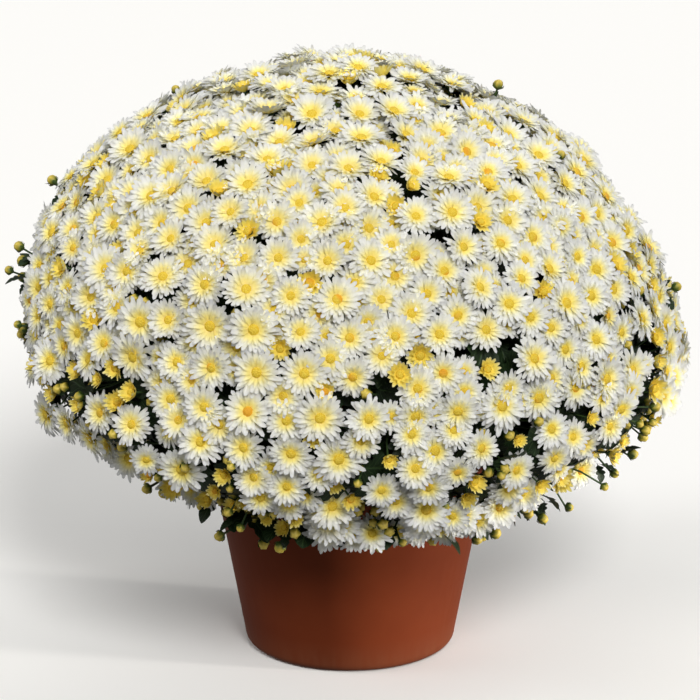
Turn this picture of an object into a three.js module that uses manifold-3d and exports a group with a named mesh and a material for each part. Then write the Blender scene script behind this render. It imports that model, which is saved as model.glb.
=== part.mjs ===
// A garden chrysanthemum grown as a cushion in a plain terracotta-coloured pot.
//
// Seven leafy stems stand in the potting mix and fork inside the cushion. Each branch carries a
// spray, and the thirteen sprays together make one dome of daisy-like blooms that hides the
// pot's rim. Millimetres, +Z up, with the origin at the middle of the pot's underside.
import * as THREE from "three";
import { mergeVertices } from "three/addons/utils/BufferGeometryUtils.js";
import Module from "manifold-3d";

const wasm = await Module();
wasm.setup();

const TURN = 2 * Math.PI;
const v3 = (x, y, z) => new THREE.Vector3(x, y, z);

// The pot: a moulded mum pan.
const POT_HEIGHT = 183;
const POT_TOP_RADIUS = 127;
const POT_BASE_RADIUS = 93;
const POT_WALL = 2.6;
const POT_FLOOR = 3.2;
const POT_FOOT_ROUNDING = 9;
const POT_FOOT_TURN = 36;
const POT_LIP_OUT = 4;
const POT_LIP_TALL = 12;
const POT_SIDES = 24;
const DRAIN_HOLES = 4;
const DRAIN_RADIUS = 6;
const DRAIN_CIRCLE = 64;
const DRAIN_SIDES = 6;

// The potting mix, heaped a little towards the stems.
const SOIL_RIM_DROP = 24;
const SOIL_HEAP = 7;
const SOIL_HEAP_SHARE = 0.5;
const FIT_GAP = 0.4;

// The dome of blooms: an ellipse of revolution above its widest ring and a flatter one below.
const DOME_RADIUS = 286;
const DOME_RISE = 258;
const DOME_DROP = 138;
const WIDEST_HEIGHT = 270;
const HEM_RADIUS = 190;
const PROFILE_STEPS = 600;
// The plant isn't even: its top sways to the left and its hem to the right, and the hem is
// higher on the left and right than in front and behind.
const SWAY = 12;
const SWAY_MIDDLE = 300;
const SWAY_HEIGHT = 320;
const SIDE_LIFT = 0.14;

// The blooms, one on each face of the core that the sprays share.
const ROWS = 17;
const POLE_SHARE = 0.56;
const POLE_POINTS = 5;
const BLOOM_SPACING = 38.4;
const CORE_JITTER = 6;
const BLOOM_RADIUS_SMALL = 18.5;
const BLOOM_RADIUS_LARGE = 23;
const BLOOM_LIFT = 3;
const BLOOM_TILT = 0.2;
const BLOOM_LOOKS_UP = 0.3;
const SIDEWAYS = 0.4;
const CORE_DEPTH = 25;
const PETALS = 5;
const PETAL_RISE = 3.5;
const NOTCH_SHARE = 0.42;
const BLOOM_CLEARANCE = 0.35;

// The sprays: one crown and two tiers of six.
const SPRAY_GAP = 0.5;
const TIERS = [
  { name: "upper", arc: 0.38, turn: 0.5 },
  { name: "lower", arc: 0.78, turn: 0 },
];
const SPRAYS_PER_TIER = 6;
const SHARPEST_EDGE = 0.4;
const SETTLE_PASSES = 20;
const NECK_SHARE = 0.48;
const HUB_HEIGHT = 290;

// The stems, with places given as radius and height.
const STEM_CIRCLE = 40;
const STEM_FOOT = 96;
const STEM_RADIUS = 6;
const BRANCH_RADIUS = 3.8;
const TWIG_RADIUS = 2.4;
const STALK_RADIUS = 1.3;
const STEM_SIDES = 6;
const TWIG_SIDES = 4;
const BRANCH_STEPS = 3;
const TWIG_STEPS = 4;
const SOIL_CLEARANCE = 4;
const FORK = [62, 226];
const SIDE_BRANCH = [53, 204];
const LEAVING_RISE = 18;
const NECK_APPROACH = 28;
const MIDDLE_SWAY = v3(4, 3, 0);

// The skirt: twigs from the stems over the pot's rim, with leaves and buds below the hem.
const TWIG_START = [46, 187];
const TWIG_LEAVES = [100, 198];
const TWIG_OVER_RIM = [149, 199.5];
const TWIG_END = [151, 160];
const FIRST_BUD = { circle: 188, height: 139, aside: 0.016 };
const SECOND_BUD = { circle: 188, height: 141, aside: -0.018 };
const SECOND_STALK = [168, 152];
const BUD_SPREAD = 12;
const BUD_RADIUS = 5.2;
const BUD_TIP = 0.8;
const SKIRT_LEAVES = [
  { at: 0.66, turn: -0.16, out: 0.8, down: -0.3, size: 49 },
  { at: 0.73, turn: 0.17, out: 0.8, down: -0.35, size: 52 },
  { at: 0.8, turn: -0.07, out: 0.9, down: -0.5, size: 46 },
  { at: 0.88, turn: 0.06, out: 0.9, down: -0.45, size: 49 },
];
const LEAF_VARIETY = 0.06;
const LEAF_THICK = 1.4;
const LEAF_FOOT = -0.04;
const LEAF_MIDDLE = 0.42;
const LEAF_FOLD = 0.1;
// Half of a lobed leaf's outline from the stalk to the tip, as shares of the length.
const LEAF_HALF = [
  [0.14, 0.07],
  [0.3, 0.31],
  [0.46, 0.17],
  [0.66, 0.33],
];
const JOIN_FINENESS = 0.1;

const COLOURS = {
  pot: { color: 0x9c4f35, roughness: 0.6 },
  soil: { color: 0x2e2119, roughness: 1 },
  leafy_stem: { color: 0x2f4a24, roughness: 0.7 },
  spray: { color: 0xf2efe0, roughness: 0.6 },
};

const polar = (radius, turns, z) =>
  v3(radius * Math.cos(turns * TURN), radius * Math.sin(turns * TURN), z);

// A repeatable draw from 0 to 1 for three whole numbers.
function draw(a, b, c) {
  let h = Math.imul(a + 11, 0x9e3779b1) ^ Math.imul(b + 101, 0x85ebca6b);
  h = Math.imul(h ^ Math.imul(c + 7, 0xc2b2ae35), 0x27d4eb2f);
  h = Math.imul(h ^ (h >>> 15), 0x165667b1);
  h = Math.imul(h ^ (h >>> 13), 0x2c1b3c6d);
  return ((h ^ (h >>> 16)) >>> 0) / 4294967296;
}
const spread = (a, b, c) => 2 * draw(a, b, c) - 1;

// A geometry from points and triangles of point numbers.
function meshOf(points, faces) {
  const geometry = new THREE.BufferGeometry();
  geometry.setAttribute(
    "position",
    new THREE.Float32BufferAttribute(
      points.flatMap((p) => p.toArray()),
      3,
    ),
  );
  geometry.setIndex(faces.flat());
  return geometry;
}

// Closed geometry to a solid for joining and cutting, and back.
function solidOf(geometry) {
  const bare = new THREE.BufferGeometry();
  bare.setAttribute("position", geometry.getAttribute("position"));
  bare.setIndex(geometry.index);
  const merged = mergeVertices(bare, 1e-3);
  return new wasm.Manifold(
    new wasm.Mesh({
      numProp: 3,
      vertProperties: merged.attributes.position.array,
      triVerts: new Uint32Array(merged.index.array),
    }),
  );
}
function geometryOf(solid) {
  const mesh = solid.getMesh();
  const geometry = new THREE.BufferGeometry();
  geometry.setAttribute(
    "position",
    new THREE.BufferAttribute(mesh.vertProperties, 3),
  );
  geometry.setIndex(new THREE.BufferAttribute(mesh.triVerts, 1));
  return geometry;
}

// Joins an upper ring to a lower one, both running anticlockwise seen from outside. A ring is a
// list of { id, turn }, with the turns rising by one in all. Each step takes the nearer next point.
function bridge(upper, lower) {
  const away = (p) => {
    const d = Math.abs(p.turn - upper[0].turn) % 1;
    return Math.min(d, 1 - d);
  };
  const start = lower.reduce((best, p, j) => (away(p) < away(lower[best]) ? j : best), 0);
  const shift = Math.round(upper[0].turn - lower[start].turn);
  const upperAt = (i) => ({
    id: upper[i % upper.length].id,
    turn: upper[i % upper.length].turn + Math.floor(i / upper.length),
  });
  const lowerAt = (j) => ({
    id: lower[(start + j) % lower.length].id,
    turn: lower[(start + j) % lower.length].turn + shift + Math.floor((start + j) / lower.length),
  });
  const faces = [];
  let i = 0;
  let j = 0;
  while (i < upper.length || j < lower.length) {
    const above = upperAt(i);
    const below = lowerAt(j);
    const lowerDone = j === lower.length;
    if (lowerDone || (i < upper.length && upperAt(i + 1).turn <= lowerAt(j + 1).turn)) {
      faces.push([below.id, upperAt(i + 1).id, above.id]);
      i += 1;
    } else {
      faces.push([below.id, lowerAt(j + 1).id, above.id]);
      j += 1;
    }
  }
  return faces;
}

// The dome's profile as a table of arc length against the angle from the pole.
const DROP_AT_HEM = Math.PI - Math.asin(HEM_RADIUS / DOME_RADIUS);
function profileAt(angle) {
  const rise = angle < Math.PI / 2 ? DOME_RISE : DOME_DROP;
  const normal = new THREE.Vector2(
    Math.sin(angle) / DOME_RADIUS,
    Math.cos(angle) / rise,
  ).normalize();
  return {
    radius: DOME_RADIUS * Math.sin(angle),
    height: WIDEST_HEIGHT + rise * Math.cos(angle),
    out: normal.x,
    up: normal.y,
  };
}
const arcs = [0];
for (let k = 1; k <= PROFILE_STEPS; k += 1) {
  const from = profileAt((DROP_AT_HEM * (k - 1)) / PROFILE_STEPS);
  const to = profileAt((DROP_AT_HEM * k) / PROFILE_STEPS);
  arcs.push(arcs[k - 1] + Math.hypot(to.radius - from.radius, to.height - from.height));
}
const HEM_ARC = arcs[PROFILE_STEPS];
function profileAtArc(arc) {
  let k = 1;
  while (k < PROFILE_STEPS && arcs[k] < arc) k += 1;
  const share = (arc - arcs[k - 1]) / (arcs[k] - arcs[k - 1]);
  return profileAt((DROP_AT_HEM * (k - 1 + share)) / PROFILE_STEPS);
}

// Moves a point of the even dome to where the uneven plant has it.
function grownPlace(place, turns) {
  if (place.z < WIDEST_HEIGHT) {
    const lift = SIDE_LIFT * Math.cos(turns * TURN) ** 2;
    place.z += lift * (WIDEST_HEIGHT - place.z);
  }
  place.x -= SWAY * Math.sin((Math.PI * (place.z - SWAY_MIDDLE)) / SWAY_HEIGHT);
  return place;
}

// A point of the dome, sunk by a depth, with its outward normal and two tangents.
function domePoint(arc, turns, depth) {
  const at = profileAtArc(arc);
  const out = polar(1, turns, 0);
  const normal = out.clone().multiplyScalar(at.out).setZ(at.up);
  const along = polar(1, turns + 0.25, 0);
  const place = out
    .multiplyScalar(at.radius)
    .setZ(at.height)
    .addScaledVector(normal, -depth);
  return { place: grownPlace(place, turns), normal, along, down: along.clone().cross(normal) };
}

// The core's rings, from round the pole to the hem. Each point is drawn a little out of line.
const ROW_ARC = HEM_ARC / (ROWS + POLE_SHARE);
const core = [];
const rings = [];
for (let r = 0; r <= ROWS; r += 1) {
  const arc = (r + POLE_SHARE) * ROW_ARC;
  const around = TURN * profileAtArc(arc).radius;
  const count = Math.max(POLE_POINTS, Math.round(around / BLOOM_SPACING));
  const ring = [];
  for (let i = 0; i < count; i += 1) {
    const turn = (i + draw(r, 0, 1)) / count;
    const aside = (CORE_JITTER * spread(r, i, 2)) / around;
    const sunk = CORE_JITTER * spread(r, i, 3);
    const at = { arc: Math.min(arc + sunk, HEM_ARC), turn: turn + aside };
    ring.push({ id: core.length, turn });
    core.push({ ...at, place: domePoint(at.arc, at.turn, CORE_DEPTH).place });
  }
  rings.push(ring);
}

// The faces between two rings: one for each gap of the fuller ring, closed off by the points of
// the other ring that lie nearest.
function rowFaces(upper, lower) {
  const fuller = lower.length >= upper.length ? lower : upper;
  const other = fuller === lower ? upper : lower;
  const away = (a, b) => Math.abs(a.turn - b.turn - Math.round(a.turn - b.turn));
  const nearest = fuller.map((p) =>
    other.reduce((best, q, k) => (away(p, q) < away(p, other[best]) ? k : best), 0),
  );
  return fuller.map((p, j) => {
    const n = (j + 1) % fuller.length;
    const steps = (nearest[n] - nearest[j] + other.length) % other.length;
    const run = [];
    for (let k = 0; k <= steps; k += 1) run.push(other[(nearest[j] + k) % other.length].id);
    if (fuller === lower) return [p.id, fuller[n].id, ...run.reverse()];
    return [...run, fuller[n].id, p.id];
  });
}

// One bloom for each face, over the face's middle.
const blooms = [];
function placeBloom(face, row, k) {
  const first = core[face[0]].turn;
  const mean = (read) => face.reduce((sum, id) => sum + read(core[id]), 0) / face.length;
  const turn = row === 0 ? 0 : mean((p) => p.turn - Math.round(p.turn - first));
  const arc = row === 0 ? 0 : mean((p) => p.arc);
  const at = domePoint(arc, turn, -BLOOM_LIFT * spread(row, k, 4));
  const axis = at.normal
    .clone()
    .addScaledVector(at.along, BLOOM_TILT * spread(row, k, 5))
    .addScaledVector(at.down, BLOOM_TILT * spread(row, k, 6))
    .add(v3(0, 0, BLOOM_LOOKS_UP * Math.max(0, SIDEWAYS - at.normal.z)))
    .normalize();
  const radius =
    BLOOM_RADIUS_SMALL + (BLOOM_RADIUS_LARGE - BLOOM_RADIUS_SMALL) * draw(row, k, 7);
  blooms.push({ face, place: at.place, axis, radius, spin: draw(row, k, 8) });
}
placeBloom(rings[0].map((p) => p.id), 0, 0);
for (let r = 1; r <= ROWS; r += 1) {
  rowFaces(rings[r - 1], rings[r]).forEach((face, k) => placeBloom(face, r, k));
}

// The planes that part a bloom from its neighbours: through the edge that two faces share, or
// through the one point where they meet.
function partings(bloom) {
  const planes = [];
  for (const other of blooms) {
    const shared = bloom.face.filter((id) => other !== bloom && other.face.includes(id));
    if (shared.length === 0) continue;
    const [p, q] = shared.map((id) => core[id].place);
    const away = other.place.clone().sub(bloom.place);
    const between = bloom.place.clone().add(other.place).divideScalar(2);
    const normal = q ? q.clone().sub(p).cross(between.sub(p)).normalize() : away.normalize();
    if (normal.dot(away) < 0) normal.negate();
    planes.push(new THREE.Plane().setFromNormalAndCoplanarPoint(normal, p));
  }
  return planes;
}

// Shortens the way from a bloom's middle to a point until it stays on the bloom's own side.
function keptClear(bloom, point, planes) {
  let share = 1;
  for (const plane of planes) {
    const here = -plane.distanceToPoint(bloom.place) - BLOOM_CLEARANCE;
    const there = -plane.distanceToPoint(point) - BLOOM_CLEARANCE;
    if (there < 0) share = Math.min(share, here / (here - there));
  }
  return bloom.place.clone().lerp(point, share);
}

// A bloom: a star of petals round a flat disc, on a funnel that grows from its face of the core.
function addBloom(bloom, points, faces, pointOfCore) {
  const across = v3(0, 0, 1).cross(bloom.axis).normalize();
  const beside = bloom.axis.clone().cross(across);
  const planes = partings(bloom);
  const first = points.length;
  const rim = [];
  for (let k = 0; k < 2 * PETALS; k += 1) {
    const turn = bloom.spin + k / (2 * PETALS);
    const tip = k % 2 === 0;
    const reach = bloom.radius * (tip ? 1 : NOTCH_SHARE);
    const point = bloom.place
      .clone()
      .addScaledVector(across, reach * Math.cos(turn * TURN))
      .addScaledVector(beside, reach * Math.sin(turn * TURN))
      .addScaledVector(bloom.axis, tip ? PETAL_RISE : 0);
    rim.push({ id: first + k, turn });
    points.push(keptClear(bloom, point, planes));
  }
  const notch = (m) => first + ((2 * m + 1) % (2 * PETALS));
  for (let m = 0; m < PETALS; m += 1) {
    faces.push([notch(m + PETALS - 1), first + 2 * m, notch(m)]);
    if (m > 1) faces.push([notch(0), notch(m - 1), notch(m)]);
  }
  const base = bloom.face.map((id) => {
    const from = core[id].place.clone().sub(bloom.place);
    const turn = Math.atan2(from.dot(beside), from.dot(across)) / TURN;
    return { id: pointOfCore(id), turn };
  });
  for (let k = 1; k < base.length; k += 1) {
    while (base[k].turn < base[k - 1].turn) base[k].turn += 1;
  }
  faces.push(...bridge(rim, base));
}

// The sprays share the blooms out: each bloom goes to the nearest spray's middle.
const sprays = [{ name: "spray_crown", middle: domePoint(0, 0, CORE_DEPTH).place }];
TIERS.forEach((tier) => {
  for (let k = 0; k < SPRAYS_PER_TIER; k += 1) {
    const turn = (k + tier.turn) / SPRAYS_PER_TIER;
    const middle = domePoint(tier.arc * HEM_ARC, turn, CORE_DEPTH).place;
    sprays.push({ name: `spray_${tier.name}_${k + 1}`, middle });
  }
});
const hub = v3(0, 0, HUB_HEIGHT);
for (const spray of sprays) {
  spray.blooms = [];
  spray.neck = spray.middle.clone().lerp(hub, NECK_SHARE);
  spray.axis = spray.neck.clone().sub(hub).normalize();
}
for (const bloom of blooms) {
  const away = (spray) => spray.middle.distanceTo(bloom.place);
  const nearest = sprays.reduce((best, s) => (away(s) < away(best) ? s : best));
  nearest.blooms.push(bloom);
}

// No spray meets a core point in two separate places: the smaller place goes to its neighbour.
const facesAt = core.map((_, id) => {
  const found = blooms.filter((b) => b.face.includes(id));
  const ordered = [found[0]];
  while (ordered.length < found.length) {
    const face = ordered.at(-1).face;
    const before = face.at(face.indexOf(id) - 1);
    const beside = found.find((b) => {
      const after = b.face[(b.face.indexOf(id) + 1) % b.face.length];
      return after === before && !ordered.includes(b);
    });
    ordered.push(beside ?? found.find((b) => !ordered.includes(b)));
  }
  return ordered;
});
function owner(bloom) {
  return sprays.find((s) => s.blooms.includes(bloom));
}
function runsAt(id) {
  const ring = facesAt[id].map((bloom) => ({ bloom, spray: owner(bloom) }));
  const start = ring.findIndex((p, k) => p.spray !== ring.at(k - 1).spray);
  const runs = [];
  for (let k = 0; k < ring.length; k += 1) {
    const part = ring[(Math.max(start, 0) + k) % ring.length];
    if (runs.at(-1)?.spray !== part.spray) runs.push({ spray: part.spray, blooms: [] });
    runs.at(-1).blooms.push(part.bloom);
  }
  return runs;
}
for (let pass = 0; pass < SETTLE_PASSES; pass += 1) {
  for (let id = 0; id < core.length; id += 1) {
    const runs = runsAt(id);
    const twice = runs.filter((a) => runs.some((b) => a !== b && a.spray === b.spray));
    if (twice.length === 0) continue;
    const least = twice.reduce((a, b) => (b.blooms.length < a.blooms.length ? b : a));
    const next = runs[(runs.indexOf(least) + 1) % runs.length];
    least.spray.blooms = least.spray.blooms.filter((b) => !least.blooms.includes(b));
    next.spray.blooms.push(...least.blooms);
  }
}

// The edge of a spray's patch of the core, as one loop.
function edgeLoop(patch) {
  const next = new Map();
  const edges = new Set(patch.flatMap((f) => f.map((id, k) => `${f.at(k - 1)} ${id}`)));
  for (const edge of edges) {
    const [from, to] = edge.split(" ").map(Number);
    if (edges.has(`${to} ${from}`)) continue;
    if (next.has(from)) throw new Error(`the spray pinches at core point ${from}`);
    next.set(from, to);
  }
  const loop = [next.keys().next().value];
  while (next.get(loop.at(-1)) !== loop[0]) loop.push(next.get(loop.at(-1)));
  if (loop.length !== next.size) throw new Error("the spray is in more than one patch");
  return loop;
}

// A point of a spray's edge, drawn in by the gap at right angles to both of its edges.
function drawnIn(loop, k) {
  const place = core[loop[k]].place;
  const up = place.clone().sub(hub).normalize();
  const edge = (from, to) => core[to].place.clone().sub(core[from].place);
  const inward = (from, to) => up.clone().cross(edge(from, to)).normalize();
  const before = inward(loop.at(k - 1), loop[k]);
  const after = inward(loop[k], loop[(k + 1) % loop.length]);
  const share = SPRAY_GAP / Math.max(SHARPEST_EDGE, 1 + before.dot(after));
  return place.clone().addScaledVector(before.add(after), share);
}

// A spray: its blooms, and a core that narrows from their patch towards the hub as far as the
// flat neck on its branch.
function sprayGeometry(spray) {
  const points = [];
  const faces = [];
  const local = new Map();
  const loop = edgeLoop(spray.blooms.map((b) => b.face));
  const onEdge = new Set(loop);
  const pointOfCore = (id) => {
    if (!local.has(id)) {
      local.set(id, points.length);
      points.push(onEdge.has(id) ? drawnIn(loop, loop.indexOf(id)) : core[id].place);
    }
    return local.get(id);
  };
  for (const bloom of spray.blooms) addBloom(bloom, points, faces, pointOfCore);
  const rim = loop.map(pointOfCore);
  const neckReach = spray.neck.clone().sub(hub).dot(spray.axis);
  const neck = rim.map((id) => {
    const from = points[id].clone().sub(hub);
    points.push(hub.clone().addScaledVector(from, neckReach / from.dot(spray.axis)));
    return points.length - 1;
  });
  rim.forEach((_, k) => {
    const n = (k + 1) % rim.length;
    faces.push([rim[n], rim[k], neck[k]], [rim[n], neck[k], neck[n]]);
  });
  const across = v3(0, 1, 0).cross(spray.axis).normalize();
  const beside = spray.axis.clone().cross(across);
  const flat = neck.map((id) => {
    const from = points[id].clone().sub(spray.neck);
    return new THREE.Vector2(from.dot(across), from.dot(beside));
  });
  for (const [a, b, c] of THREE.ShapeUtils.triangulateShape(flat, [])) {
    faces.push([neck[a], neck[c], neck[b]]);
  }
  return meshOf(points, faces);
}

// A tapering stem through a few points, closed at both ends.
function stemGeometry(path, radii, sides, arrival) {
  const points = [];
  const faces = [];
  const side = v3(0, 0, 0);
  path.forEach((place, k) => {
    const ahead = path[Math.min(k + 1, path.length - 1)];
    const behind = path[Math.max(k - 1, 0)];
    const along = ahead.clone().sub(behind).normalize();
    if (k === path.length - 1 && arrival) along.copy(arrival);
    if (k === 0) side.copy(Math.abs(along.x) < 0.9 ? v3(1, 0, 0) : v3(0, 1, 0));
    side.addScaledVector(along, -side.dot(along)).normalize();
    const other = along.clone().cross(side);
    for (let i = 0; i < sides; i += 1) {
      const angle = (i * TURN) / sides;
      points.push(
        place
          .clone()
          .addScaledVector(side, radii[k] * Math.cos(angle))
          .addScaledVector(other, radii[k] * Math.sin(angle)),
      );
    }
  });
  for (let k = 0; k < path.length - 1; k += 1) {
    for (let i = 0; i < sides; i += 1) {
      const a = k * sides + i;
      const b = k * sides + ((i + 1) % sides);
      faces.push([a, b, b + sides], [a, b + sides, a + sides]);
    }
  }
  const last = (path.length - 1) * sides;
  for (let i = 2; i < sides; i += 1) {
    faces.push([0, i, i - 1], [last, last + i - 1, last + i]);
  }
  return meshOf(points, faces);
}

// A lobed leaf that hangs from its foot: a thin blade, thickest along the midrib, and folded.
function leafGeometry(foot, towards, upper, length) {
  const along = towards.clone().normalize();
  const across = along.clone().cross(upper).normalize();
  const normal = across.clone().cross(along);
  const at = (x, y, z) =>
    foot
      .clone()
      .addScaledVector(along, x * length)
      .addScaledVector(across, y * length)
      .addScaledVector(normal, z);
  const fold = LEAF_FOLD * length;
  const outline = [at(LEAF_FOOT, 0, 0)];
  LEAF_HALF.forEach(([x, y]) => outline.push(at(x, y, fold * x)));
  outline.push(at(1, 0, -fold));
  [...LEAF_HALF].reverse().forEach(([x, y]) => outline.push(at(x, -y, fold * x)));
  const count = outline.length;
  const faceMiddle = (z) => at(LEAF_MIDDLE, 0, z);
  const points = [...outline, faceMiddle(LEAF_THICK / 2), faceMiddle(-LEAF_THICK / 2)];
  const faces = [];
  for (let k = 0; k < count; k += 1) {
    const n = (k + 1) % count;
    faces.push([k, n, count], [n, k, count + 1]);
  }
  return meshOf(points, faces);
}

// Points on a bend from one place to another that leaves and arrives by two handles.
function bend(from, leave, arrive, to, steps) {
  return new THREE.CubicBezierCurve3(from, leave, arrive, to).getPoints(steps);
}
const taper = (from, to, steps) =>
  Array.from({ length: steps + 1 }, (_, k) => from + ((to - from) * k) / steps);

// A thin stalk through a few points that ends in a closed bud.
function stalkWithBud(path, radius) {
  const tip = path.at(-1);
  const along = tip.clone().sub(path.at(-2)).normalize();
  const start = tip.clone().addScaledVector(along, -BUD_RADIUS);
  const end = tip.clone().addScaledVector(along, BUD_TIP * BUD_RADIUS);
  const radii = taper(radius, STALK_RADIUS, path.length - 1);
  const whole = [...path.slice(0, -1), start, tip, end];
  return stemGeometry(whole, [...radii, BUD_RADIUS, STALK_RADIUS], TWIG_SIDES);
}

// The skirt: a twig over the pot's rim to a bud, with a second bud and four leaves.
function skirtSolids(turn, seed) {
  const place = ([circle, height], aside = 0) => polar(circle, turn + aside, height);
  const over = bend(
    place(TWIG_START),
    place(TWIG_LEAVES),
    place(TWIG_OVER_RIM),
    place(TWIG_END),
    TWIG_STEPS,
  );
  const budAt = (bud, k) =>
    place([bud.circle + BUD_SPREAD * draw(seed, k, 22), bud.height], bud.aside);
  const first = [...over, budAt(FIRST_BUD, 0)];
  const second = [over.at(-2), place(SECOND_STALK, SECOND_BUD.aside / 2), budAt(SECOND_BUD, 1)];
  const solids = [
    solidOf(stalkWithBud(first, TWIG_RADIUS)),
    solidOf(stalkWithBud(second, STALK_RADIUS)),
  ];
  const curve = new THREE.CatmullRomCurve3(over);
  SKIRT_LEAVES.forEach((leaf, k) => {
    const towards = polar(leaf.out, turn + leaf.turn, leaf.down);
    const length = leaf.size * (1 + LEAF_VARIETY * spread(seed, k, 21));
    const blade = leafGeometry(curve.getPoint(leaf.at), towards, v3(0, 0, 1), length);
    solids.push(solidOf(blade));
  });
  return solids;
}

// The straight foot of a stem, in its hole in the potting mix.
const soilTop = POT_HEIGHT - SOIL_RIM_DROP + SOIL_HEAP;
function footPath(circle, turn) {
  return [polar(circle, turn, STEM_FOOT), polar(circle, turn, soilTop + SOIL_CLEARANCE)];
}

// The last part of a branch, from a place on the stem to the underside of a spray's neck.
function reachTo(spray, start) {
  const end = spray.neck.clone().addScaledVector(spray.axis, -FIT_GAP);
  const arrive = end.clone().addScaledVector(spray.axis, -NECK_APPROACH);
  const leave = start.clone().add(v3(0, 0, LEAVING_RISE));
  return bend(start, leave, arrive, end, BRANCH_STEPS);
}

// A leafy stem: the foot and on to the spray above it, a branch to the one below, and its skirt.
function leafyStem(k) {
  const turn = k / SPRAYS_PER_TIER;
  const upper = sprays.find((s) => s.name === `spray_upper_${k + 1}`);
  const lower = sprays.find((s) => s.name === `spray_lower_${k + 1}`);
  const fork = polar(FORK[0], turn, FORK[1]);
  const path = [...footPath(STEM_CIRCLE, turn), ...reachTo(upper, fork)];
  const radii = [STEM_RADIUS, ...taper(STEM_RADIUS, BRANCH_RADIUS, path.length - 2)];
  const lowerPath = reachTo(lower, polar(SIDE_BRANCH[0], turn, SIDE_BRANCH[1]));
  const lowerRadii = taper(TWIG_RADIUS, BRANCH_RADIUS, BRANCH_STEPS);
  return [
    solidOf(stemGeometry(path, radii, STEM_SIDES, upper.axis)),
    solidOf(stemGeometry(lowerPath, lowerRadii, TWIG_SIDES, lower.axis)),
    ...skirtSolids(turn, k),
  ];
}
function middleStem() {
  const crown = sprays[0];
  const end = crown.neck.clone().addScaledVector(crown.axis, -FIT_GAP);
  const halfway = MIDDLE_SWAY.clone().setZ((soilTop + end.z) / 2);
  const path = [...footPath(0, 0), halfway, end];
  const radii = [STEM_RADIUS, ...taper(STEM_RADIUS, BRANCH_RADIUS, 2)];
  return [solidOf(stemGeometry(path, radii, STEM_SIDES, crown.axis))];
}

// A turned outline, from points of radius and height.
const lathe = (outline, sides) =>
  new THREE.LatheGeometry(outline.map(([x, y]) => new THREE.Vector2(x, y)), sides).rotateX(
    Math.PI / 2,
  );
const potRadiusAt = (z) =>
  POT_BASE_RADIUS + ((POT_TOP_RADIUS - POT_BASE_RADIUS) * z) / POT_HEIGHT;

// The pot: one moulded wall with a rounded foot, a rolled lip and drain holes in its floor.
function potSolid() {
  const round = POT_FOOT_ROUNDING;
  const inner = (z) => potRadiusAt(z) - POT_WALL;
  const lipFoot = POT_HEIGHT - POT_LIP_TALL;
  const outline = [[0, 0]];
  for (let k = 0; k <= 2; k += 1) {
    const angle = THREE.MathUtils.degToRad(k * POT_FOOT_TURN);
    outline.push([
      potRadiusAt(round) - round + round * Math.sin(angle),
      round - round * Math.cos(angle),
    ]);
  }
  outline.push([potRadiusAt(lipFoot), lipFoot]);
  outline.push([potRadiusAt(lipFoot) + POT_LIP_OUT, lipFoot + POT_LIP_OUT / 2]);
  outline.push([POT_TOP_RADIUS + POT_LIP_OUT, POT_HEIGHT]);
  outline.push([inner(POT_HEIGHT), POT_HEIGHT]);
  outline.push([inner(round), round]);
  outline.push([inner(0) - round, POT_FLOOR]);
  outline.push([0, POT_FLOOR]);
  let pot = solidOf(lathe(outline, POT_SIDES));
  for (let k = 0; k < DRAIN_HOLES; k += 1) {
    const at = polar(DRAIN_CIRCLE, (k + 0.5) / DRAIN_HOLES, POT_FLOOR / 2);
    const hole = new THREE.CylinderGeometry(DRAIN_RADIUS, DRAIN_RADIUS, 3 * POT_FLOOR, DRAIN_SIDES);
    hole.rotateX(Math.PI / 2).translate(at.x, at.y, at.z);
    pot = pot.subtract(solidOf(hole));
  }
  return pot;
}

// The potting mix, with a plain hole for the foot of each stem.
function soilSolid() {
  const edge = POT_HEIGHT - SOIL_RIM_DROP;
  const low = POT_FLOOR + FIT_GAP;
  const inner = (z) => potRadiusAt(z) - POT_WALL - 2 * FIT_GAP;
  const outline = [
    [0, low],
    [inner(0) - POT_FOOT_ROUNDING - 2, low],
    [inner(POT_FOOT_ROUNDING), POT_FOOT_ROUNDING + 1],
    [inner(edge), edge],
    [SOIL_HEAP_SHARE * inner(edge), soilTop],
    [0, soilTop],
  ];
  let soil = solidOf(lathe(outline, POT_SIDES));
  const turns = Array.from({ length: SPRAYS_PER_TIER }, (_, k) => k / SPRAYS_PER_TIER);
  for (const [circle, turn] of [[0, 0], ...turns.map((t) => [STEM_CIRCLE, t])]) {
    const path = footPath(circle, turn);
    path[0].z -= FIT_GAP;
    path[1].z += SOIL_HEAP;
    const wide = STEM_RADIUS + FIT_GAP;
    soil = soil.subtract(solidOf(stemGeometry(path, [wide, wide], STEM_SIDES)));
  }
  return soil;
}

const union = (solids) => solids.reduce((sum, s) => sum.add(s)).simplify(JOIN_FINENESS);
const plant = new THREE.Group();
function addNode(name, geometry, look) {
  const mesh = new THREE.Mesh(
    geometry,
    new THREE.MeshStandardMaterial({ ...look, metalness: 0 }),
  );
  mesh.name = name;
  plant.add(mesh);
}
addNode("pot", geometryOf(potSolid()), COLOURS.pot);
addNode("soil", geometryOf(soilSolid()), COLOURS.soil);
addNode("stem_middle", geometryOf(union(middleStem())), COLOURS.leafy_stem);
for (let k = 0; k < SPRAYS_PER_TIER; k += 1) {
  addNode(`leafy_stem_${k + 1}`, geometryOf(union(leafyStem(k))), COLOURS.leafy_stem);
}
for (const spray of sprays) addNode(spray.name, sprayGeometry(spray), COLOURS.spray);

export default plant;
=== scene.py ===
import math

import bmesh
import bpy
import numpy as np
from mathutils import Matrix, Vector


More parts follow.
